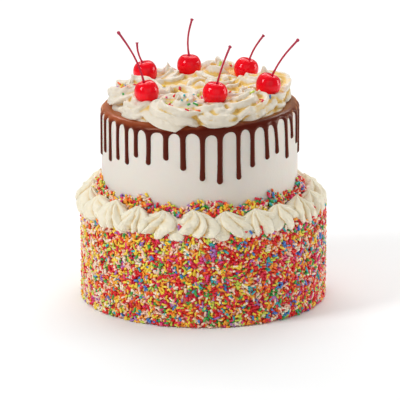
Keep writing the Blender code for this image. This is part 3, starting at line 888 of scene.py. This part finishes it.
class CAKE_OT_cream(bpy.types.Operator):
    """Heap the whipped cream on the top"""

    bl_idname = "cake.cream"
    bl_label = "Whipped Cream"

    def execute(self, context):
        """Pipe the swirls, melt them into one heap and press the cherries' seats into it."""
        sizes = context.scene.cake_sizes
        rng = np.random.default_rng(12)
        floor = sizes.upper_top + sizes.cap_thickness - 0.4 * MM
        bm = bmesh.new()
        for degrees, distance, radius, height in SWIRLS:
            spot = Vector((*heap_spot(degrees, distance), floor))
            part = self.swirl(rng, spot, radius * MM, height * MM)
            bm.from_mesh(to_mesh(part, "swirl"))
        for degrees, distance, *_ in CHERRIES:
            x, y = heap_spot(degrees, distance)
            for step in range(8):
                side = math.radians(step * 45 + rng.uniform(-16, 16))
                reach = rng.uniform(9.0, 11.5) * MM
                rise = CHERRY_RISE - rng.uniform(9.0, 13.0) * MM
                spot = Vector((x + reach * math.cos(side), y + reach * math.sin(side),
                               sizes.upper_top + sizes.cap_thickness + rise))
                bm.from_mesh(to_mesh(self.lick(rng, spot), "lick"))
        bed = turned([(out * MM, up * MM) for out, up in BED_OUTLINE], 48)
        bmesh.ops.translate(bed, vec=(HEAP_X, HEAP_Y, floor), verts=bed.verts)
        bm.from_mesh(to_mesh(bed, "bed"))
        obj = bpy.data.objects.new("heap", to_mesh(bm, "heap"))
        context.scene.collection.objects.link(obj)
        melt = obj.modifiers.new("melt", "REMESH")
        melt.mode = "VOXEL"
        melt.voxel_size = sizes.cream_detail
        soft = obj.modifiers.new("soft", "SMOOTH")
        soft.factor = 0.5
        soft.iterations = 1
        mesh = finished(obj)
        places = []
        for point, normal in zip(self.seat(mesh_rows(mesh, "co")), mesh_rows(mesh, "normal")):
            point = Vector(point)
            lift = smoothstep(floor, floor + 4 * MM, point.z)
            puff = abs(noise.noise(point * 80)) * 2.2 + abs(noise.noise(point * 190)) * 1.1 - 0.8
            wave = jitter(point * 60) * 1.4 * MM + Vector(normal) * puff * MM
            places.extend(lean_top(self.slump(point) + wave * lift))
        mesh.vertices.foreach_set("co", places)
        mesh.update()
        # The groove values paint shade into the heap's folds, deepened towards the right and the back
        mark_grooves(mesh, 60, 2.4 * MM)
        material = cream_material("whipped_cream", chosen("cream"), 0.86, (1.8, 1.2))
        new_piece("whipped_heap", mesh, material, ["top_cream"])
        return {"FINISHED"}

    def seat(self, points):
        """Return the heap's points pressed down round each cherry, with some of their relief kept."""
        sizes = bpy.context.scene.cake_sizes
        middle = sizes.upper_top + sizes.cap_thickness + CHERRY_RISE
        near, rising, fading, far = 13, 12, 7, 27
        for degrees, distance, *_ in CHERRIES:
            x, y = heap_spot(degrees, distance)
            away = np.hypot(points[:, 0] - x, points[:, 1] - y) / MM
            level = middle + (9.0 * np.clip((away - near) / rising, 0, 1) ** 1.4 - 7.5) * MM
            over = np.maximum(points[:, 2] - level, 0)
            points[:, 2] -= 0.72 * over * np.clip((far - away) / fading, 0, 1)
        return points

    def slump(self, point):
        """Return a point of the heap, held inside the cap's rim and let over it at the front."""
        across = point.x - HEAP_X
        turn = math.atan2(point.y, across)
        reach = math.hypot(across, point.y) / MM
        front_middle, front_spread = -1.66, 0.64
        front = math.exp(-((turn - front_middle) / front_spread) ** 4)
        loose = front * smoothstep(62, 96, reach)
        limit = 92.0 + 6.0 * front
        give = 4.5 + 4.5 * front
        far = reach + 6.5 * loose
        if far > limit:
            far = limit + give * math.tanh((far - limit) / give)
        scale = far / max(reach, 0.001)
        return Vector((HEAP_X + across * scale, point.y * scale, point.z - 2.0 * loose * MM))

    def swirl(self, rng, spot, radius, height):
        """Return one swirl: a ridged rope of cream coiled inwards and upwards to a soft tip."""
        lobes = 6
        rounds = rng.uniform(1.8, 2.3) * rng.choice((-1.0, 1.0), p=(0.3, 0.7))
        twist = rng.uniform(0.9, 1.8) * rng.choice((-1.0, 1.0))
        start = rng.uniform(0, math.tau)
        reaches = rng.uniform(0.86, 1.12, lobes)
        seed = Vector((rng.uniform(0, 50), rng.uniform(0, 50), 0.0))

        def shape(turn, share):
            angle = start + rounds * math.tau * share
            rise = smoothstep(0.45, 1.0, share)
            ring = radius * (0.03 + 0.5 * (1 - rise))
            level = height * (0.27 + 0.42 * rise + 0.24 * smoothstep(0.85, 1.0, share))
            thick = radius * (0.53 - 0.25 * rise)
            thick *= math.sqrt(min(share / 0.05, 1.0)) * min((1 - share) / 0.13, 1.0) ** 0.7
            thick *= ridge(lobes * (turn / math.tau + twist * share), 0.48, reaches)
            thick *= 1 + 0.07 * abs(math.sin(1.5 * lobes * (turn + math.tau * twist * share)))
            out = ring + math.cos(turn) * thick
            level += 0.9 * math.sin(turn) * thick
            point = Vector((out * math.cos(angle), out * math.sin(angle), level))
            return spot + point + jitter(point * 45 + seed) * 2.2 * MM

        return closed_shell(lobes * 14, 110, shape)

    def lick(self, rng, spot):
        """Return a small fold of cream that laps against a cherry."""
        bm = bmesh.new()
        bmesh.ops.create_icosphere(bm, subdivisions=2, radius=rng.uniform(3.2, 5.2) * MM)
        tilt = Matrix.Rotation(rng.uniform(-0.5, 0.5), 4, "X") @ Matrix.Diagonal((1.0, 1.0, 1.35, 1.0))
        bmesh.ops.transform(bm, matrix=Matrix.Translation(spot) @ tilt, verts=bm.verts)
        return bm


class CAKE_OT_cherries(bpy.types.Operator):
    """Set the cherries with their stems on the cream"""

    bl_idname = "cake.cherries"
    bl_label = "Cherries"

    def execute(self, context):
        """Make each cherry with its dimple and seam, and its stem."""
        sizes = context.scene.cake_sizes
        rng = np.random.default_rng(5)
        skin = cherry_material()
        bark = stem_material()
        radius = sizes.cherry_radius
        for index, spot in enumerate(cherry_places()):
            _, _, reach, depth, rise, bend = CHERRIES[index]
            tilt = Matrix.Rotation(math.atan2(reach, rise) * 0.6, 4, "Y")
            matrix = Matrix.Translation(spot) @ tilt
            seam = rng.uniform(0, math.tau)

            def place_fruit(turn, share):
                out, up = spline(CHERRY_OUTLINE, share)
                gap = (turn - seam + math.pi) % math.tau - math.pi
                out *= 1 - 0.04 * math.exp(-gap * gap / 0.02) * smoothstep(0.3, 0.7, share)
                out *= 1 + 0.015 * math.sin(2 * turn + seam)
                return matrix @ (Vector((out * math.cos(turn), out * math.sin(turn), up)) * radius)

            mesh = to_mesh(closed_shell(56, 40, place_fruit), "fruit")
            new_piece(f"fruit_{index + 1}", mesh, skin, [f"cherry_{index + 1}"])
            start = matrix @ Vector((0.0, 0.0, 0.6 * radius))
            end = matrix @ Vector((0.0, 0.0, 0.72 * radius)) + Vector((reach, depth, rise)) * MM
            mesh = to_mesh(self.stem(start, end, bend * MM), "stalk")
            new_piece(f"stalk_{index + 1}", mesh, bark, [f"stem_{index + 1}"])
        return {"FINISHED"}

    def stem(self, start, end, bend):
        """Return one bent stem that thins towards its middle and ends in a knob."""
        thin = bpy.context.scene.cake_sizes.stem_radius

        def middle(share):
            spot = start.lerp(end, share)
            spot.x += bend * math.sin(math.pi * share)
            return spot

        def shape(turn, share):
            along = min(max((share - 0.04) / 0.92, 0.0), 1.0)
            heading = (middle(min(along + 0.02, 1.0)) - middle(max(along - 0.02, 0.0))).normalized()
            side = heading.cross(Vector((0.0, 1.0, 0.0))).normalized()
            other = heading.cross(side)
            width = 1.25 - 0.35 * smoothstep(0.0, 0.25, along) + 0.15 * smoothstep(0.6, 0.9, along)
            width += 0.7 * math.exp(-((along - 0.978) / 0.02) ** 2)
            if share < 0.04 or share > 0.96:
                width *= math.sqrt(max(min(share, 1 - share) / 0.04, 0.0))
            width *= 1 + 0.08 * math.sin(3 * turn)
            return middle(along) + (side * math.cos(turn) + other * math.sin(turn)) * width * thin

        return closed_shell(12, 60, shape, "along")


def rod_template():
    """Return the points and faces of a short sugar rod of radius 1 with softened ends."""
    bm = bmesh.new()
    bmesh.ops.create_cone(bm, cap_ends=True, segments=6, radius1=1.0, radius2=1.0, depth=4.0)
    rims = [e for e in bm.edges if abs(e.verts[0].co.z - e.verts[1].co.z) < 0.1]
    bmesh.ops.bevel(bm, geom=rims, offset=0.42, segments=1, profile=0.5, affect="EDGES", material=-1)
    bmesh.ops.recalc_face_normals(bm, faces=bm.faces)
    bm.verts.index_update()
    points = np.array([vert.co[:] for vert in bm.verts])
    faces = [[vert.index for vert in face.verts] for face in bm.faces]
    bm.free()
    return points, faces


def rod_mesh(name, rods):
    """Return one mesh of many rods; each row has a middle, a heading, a length and a radius."""
    points, faces = rod_template()
    middle, heading, length, thick = rods[:, :3], rods[:, 3:6], rods[:, 6], rods[:, 7]
    other = np.where(np.abs(heading[:, 2:3]) < 0.9, (0.0, 0.0, 1.0), (1.0, 0.0, 0.0))
    side = np.cross(heading, other)
    side /= np.linalg.norm(side, axis=1, keepdims=True)
    third = np.cross(heading, side)
    along = np.sign(points[:, 2]) * (np.abs(points[:, 2]) - 2.0)
    far = np.sign(points[:, 2])[None, :] * length[:, None] / 2 + along[None, :] * thick[:, None]
    placed = middle[:, None, :] + far[:, :, None] * heading[:, None, :]
    for axis, direction in ((0, side), (1, third)):
        placed += (points[:, axis][None, :] * thick[:, None])[:, :, None] * direction[:, None, :]
    count = len(points)
    mesh = bpy.data.meshes.new(name)
    all_faces = [[corner + count * rod for corner in face]
                 for rod in range(len(rods)) for face in faces]
    mesh.from_pydata(placed.reshape(-1, 3).tolist(), [], all_faces)
    mesh.update()
    return mesh


def facing(turn):
    """Return the directions that walls face at these angles from the front."""
    return np.column_stack((np.sin(turn), -np.cos(turn), np.zeros(len(turn))))


def half_height(rods):
    """Return how far each rod reaches above its middle."""
    return np.abs(rods[:, 5]) * rods[:, 6] / 2 + rods[:, 7]


class CAKE_OT_sprinkles(bpy.types.Operator):
    """Strew the sugar rods over the lower tier, the upper tier's foot and the cream"""

    bl_idname = "cake.sprinkles"
    bl_label = "Sprinkles"

    def execute(self, context):
        """Place every rod, then make one piece for each colour."""
        rng = np.random.default_rng(2024)
        laid = self.clear(np.vstack((self.coat(rng), self.bank(rng))))
        rods = np.vstack((laid, self.strays(rng)))
        kinds = self.kinds(rng, rods)
        for index, name in enumerate(SPRINKLE_SHARES):
            mesh = rod_mesh(f"sprinkles_{name}", rods[kinds == index])
            material = sprinkle_material(name, chosen(name, "sprinkle_colours"))
            new_piece(f"sprinkles_{name}", mesh, material, ["lower_tier"])
        return {"FINISHED"}

    def kinds(self, rng, rods):
        """Return the number of each rod's colour; colours change from side to side as painted light,
        and gather.
        """
        names = list(SPRINKLE_SHARES)
        shares = np.array([SPRINKLE_SHARES[name] for name in names])
        left_lit = np.isin(names, LEFT_LIT_SPRINKLES)
        light = np.isin(names, EDGE_LIT_SPRINKLES)
        side = np.clip(rods[:, :1] / bpy.context.scene.cake_sizes.lower_radius, -1.0, 1.0)
        # Painted light: yellow rods gather on the lit left, pale ones there and on both lit edges
        weights = shares * np.where(left_lit, np.exp(-0.6 * side), np.exp(0.25 * side))
        weights *= np.where(light, np.exp(-0.6 * side) * (1 + 1.4 * side ** 2), 1.0)
        sums = np.cumsum(weights / weights.sum(1, keepdims=True), axis=1)
        draws = rng.uniform(0, 1, len(rods))

        # The gathered ones take the draw of their patch, a square of a few rods
        gathered = 0.42
        patches_round, patch_height = 120, 7 * MM
        patches = rng.uniform(0, 1, (140, 60))
        turn = np.arctan2(rods[:, 0], -rods[:, 1]) / math.tau
        column = (turn * patches_round + patches_round // 2).astype(int)
        level = (rods[:, 2] / patch_height).astype(int)
        draws = np.where(rng.uniform(0, 1, len(rods)) < gathered, patches[column, level], draws)
        return (draws[:, None] > sums[:, :-1]).sum(1)

    def rows(self, rng, middles, normals, tilt):
        """Return rods at the middles, lying on surfaces with these normals, tilted at random."""
        sizes = bpy.context.scene.cake_sizes
        count = len(middles)
        across = np.cross(normals, (0.0, 0.0, 1.0)) + (0.0, 1e-6, 0.0)
        across /= np.linalg.norm(across, axis=1, keepdims=True)
        upward = np.cross(across, normals)
        lie = rng.uniform(0, math.pi, count)[:, None]
        rise = np.clip(rng.normal(0, tilt, count), -1.3, 1.3)[:, None]
        heading = np.cos(rise) * (np.cos(lie) * across + np.sin(lie) * upward) + np.sin(rise) * normals
        length = sizes.sprinkle_length * rng.uniform(0.62, 1.3, count)
        thick = sizes.sprinkle_radius * rng.uniform(0.86, 1.14, count)
        return np.column_stack((middles, heading, length, thick))

    def coat(self, rng):
        """Return the rods that cover the lower tier's side in several layers."""
        sizes = bpy.context.scene.cake_sizes
        count = sizes.coat_count
        order = np.arange(count)
        top = 109
        turn = ((order * EVEN_STEPS[0] + rng.normal(0, 0.0022, count)) % 1.0) * math.tau
        height = ((order * EVEN_STEPS[1] + rng.normal(0, 0.007, count)) % 1.0) * top * MM
        normals = facing(turn)
        layer = rng.choice((0.9, 2.1, 3.1), count, p=(0.42, 0.35, 0.23))
        layer += rng.uniform(-0.4, 0.3, count)
        rods = self.rows(rng, normals * 0.0, normals, 0.36)
        reach = np.abs((rods[:, 3:6] * normals).sum(1)) * rods[:, 6] / 2

        # The coat draws in under the border
        most = COAT_LIMIT - 3.0 * MM * np.clip((height - 98 * MM) / (6 * MM), 0, 1)
        most -= 3.0 * MM * np.clip((height - 104 * MM) / (5 * MM), 0, 1)
        radius = np.minimum(sizes.lower_radius + layer * MM, most - reach - rods[:, 7] * 0.8)
        rods[:, :3] = normals * radius[:, None]
        rods[:, 2] = np.maximum(height, half_height(rods))
        return rods

    def bank(self, rng):
        """Return the rods heaped at the foot of the upper tier, on the lower tier's top."""
        sizes = bpy.context.scene.cake_sizes
        count = sizes.bank_count
        turn = rng.uniform(0, math.tau, count)
        clump = 1 + 0.25 * np.sin(turn * 9 + 1.0) + 0.2 * np.sin(turn * 23 + 2.0)
        away = rng.uniform(0, 1, count) ** 1.3
        tall, wide = 14.5, 10.0
        rise = tall * clump * (1 - 0.85 * away) * (0.25 + 0.75 * rng.uniform(0, 1, count)) * MM
        out = sizes.upper_radius + (0.8 + wide * away) * MM
        normals = facing(turn)
        rods = self.rows(rng, normals * 0.0, normals, 0.4)
        rods[:, :3] = normals * out[:, None]
        rods[:, 2] = sizes.lower_height + np.maximum(rise, half_height(rods))
        rods[:, 0] += UPPER_OFFSET
        return rods

    def clear(self, rods):
        """Return the rods whose middles lie outside the dollops and, above the edge, clear of them."""
        bm = bmesh.new()
        for obj in bpy.data.objects:
            if obj.name.startswith("dollop_"):
                bm.from_mesh(obj.data)
        tree = BVHTree.FromBMesh(bm)
        bm.free()
        edge_level = 0.112
        kept = []
        for row in rods:
            middle = Vector(row[:3])
            spot, normal, _, _ = tree.ray_cast(middle, Vector((0, 0, 1)))
            near = middle.z > edge_level and tree.find_nearest(middle, 1.6 * MM)[0] is not None
            kept.append(not near and (spot is None or normal.z < 0))
        return rods[kept]

    def strays(self, rng):
        """Return the few rods that landed on the whipped cream, most of them in small groups."""
        heap = bpy.data.objects["whipped_heap"]
        tree = BVHTree.FromObject(heap, bpy.context.evaluated_depsgraph_get())
        group_spread, heap_reach, above_all = 7.0 * MM, 84 * MM, 0.3
        marks = [(*polar(math.radians(degrees), distance * MM), group_spread)
                 for degrees, distance, count in STRAY_GROUPS for _ in range(count)]
        marks += [(*polar(rng.uniform(0, math.tau), heap_reach * math.sqrt(rng.uniform(0, 1))), 0.0)
                  for _ in range(STRAY_COUNT)]
        middles, normals = [], []
        for x, y, spread in marks:
            above = Vector((HEAP_X + UPPER_OFFSET + x + rng.normal(0, 1) * spread,
                            HEAP_Y + y + rng.normal(0, 1) * spread, above_all))
            spot, normal, _, _ = tree.ray_cast(above, Vector((0, 0, -1)))
            if spot is not None:
                middles.append(spot + normal * 0.1 * MM)
                normals.append(normal)
        return self.rows(rng, np.array(middles), np.array(normals), 0.15)


class CAKE_OT_stage(bpy.types.Operator):
    """Set the floor, the soft studio lights and the camera"""

    bl_idname = "cake.stage"
    bl_label = "Stage"

    def execute(self, context):
        """Make the pale floor, the lights and the camera."""
        scene = context.scene
        scene.view_settings.view_transform = "Standard"
        bm = bmesh.new()
        bmesh.ops.create_circle(bm, cap_ends=True, segments=96, radius=9.0)
        floor_mesh = to_mesh(bm, "floor")
        material, _ = new_material("floor", (0.95, 0.95, 0.95), 0.8)
        floor_mesh.materials.append(material)
        floor = bpy.data.objects.new("floor", floor_mesh)
        scene.collection.objects.link(floor)
        for name, place, size, power, colour in LIGHTS:
            self.light(name, place, size, power, colour)
        world = bpy.data.worlds.new("studio")
        world.use_nodes = True
        background = world.node_tree.nodes["Background"]
        background.inputs["Color"].default_value = (1.0, 1.0, 1.0, 1.0)
        background.inputs["Strength"].default_value = WORLD_STRENGTH
        scene.world = world
        camera = bpy.data.cameras.new("camera")
        camera.lens = CAMERA_LENS
        camera.sensor_width = CAMERA_SENSOR
        camera.clip_end = 50.0
        holder = bpy.data.objects.new("camera", camera)
        scene.collection.objects.link(holder)
        holder.location = (CAMERA_X, -CAMERA_DISTANCE * math.cos(CAMERA_DOWN),
                           CAMERA_Z + CAMERA_DISTANCE * math.sin(CAMERA_DOWN))
        holder.rotation_euler = (math.pi / 2 - CAMERA_DOWN, 0.0, 0.0)
        scene.camera = holder
        return {"FINISHED"}

    def light(self, name, place, size, power, colour):
        """Add a rectangular soft light that faces the cake."""
        lamp = bpy.data.lights.new(name, "AREA")
        lamp.shape = "RECTANGLE"
        lamp.size, lamp.size_y = size
        lamp.energy = power
        lamp.color = colour
        holder = bpy.data.objects.new(name, lamp)
        bpy.context.scene.collection.objects.link(holder)
        holder.location = place
        holder.rotation_euler = (LIGHTS_AIM - Vector(place)).to_track_quat("-Z", "Y").to_euler()


class CAKE_PT_panel(bpy.types.Panel):
    """Sidebar panel with a button for each piece"""

    bl_label = "Two-Tier Cake"
    bl_idname = "CAKE_PT_panel"
    bl_space_type = "VIEW_3D"
    bl_region_type = "UI"
    bl_category = "Cake"

    def draw(self, context):
        """List the operators, sizes and colours."""
        column = self.layout.column()
        for operator in OPERATORS:
            column.operator(operator.bl_idname)
        for group_name, group in GROUPS.items():
            for name in group.__annotations__:
                column.prop(getattr(context.scene, group_name), name)


OPERATORS = (
    CAKE_OT_lower_tier, CAKE_OT_upper_tier, CAKE_OT_ganache, CAKE_OT_border, CAKE_OT_cream,
    CAKE_OT_cherries, CAKE_OT_sprinkles, CAKE_OT_stage,
)
GROUPS = {"cake_sizes": CakeSizes, "cake_colours": CakeColours, "sprinkle_colours": SprinkleColours}


def register():
    """Register the classes and hang the property groups on the scene."""
    for cls in (*GROUPS.values(), *OPERATORS, CAKE_PT_panel):
        bpy.utils.register_class(cls)
    for name, group in GROUPS.items():
        setattr(bpy.types.Scene, name, PointerProperty(type=group))


def unregister():
    """Take the property groups and classes away again."""
    for name in GROUPS:
        delattr(bpy.types.Scene, name)
    for cls in (CAKE_PT_panel, *OPERATORS, *GROUPS.values()):
        bpy.utils.unregister_class(cls)


def main():
    """Dress the whole cake."""
    register()
    bpy.ops.cake.lower_tier()
    bpy.ops.cake.upper_tier()
    bpy.ops.cake.ganache()
    bpy.ops.cake.border()
    bpy.ops.cake.cream()
    bpy.ops.cake.cherries()
    bpy.ops.cake.sprinkles()
    bpy.ops.cake.stage()


if __name__ == "__main__":
    main()
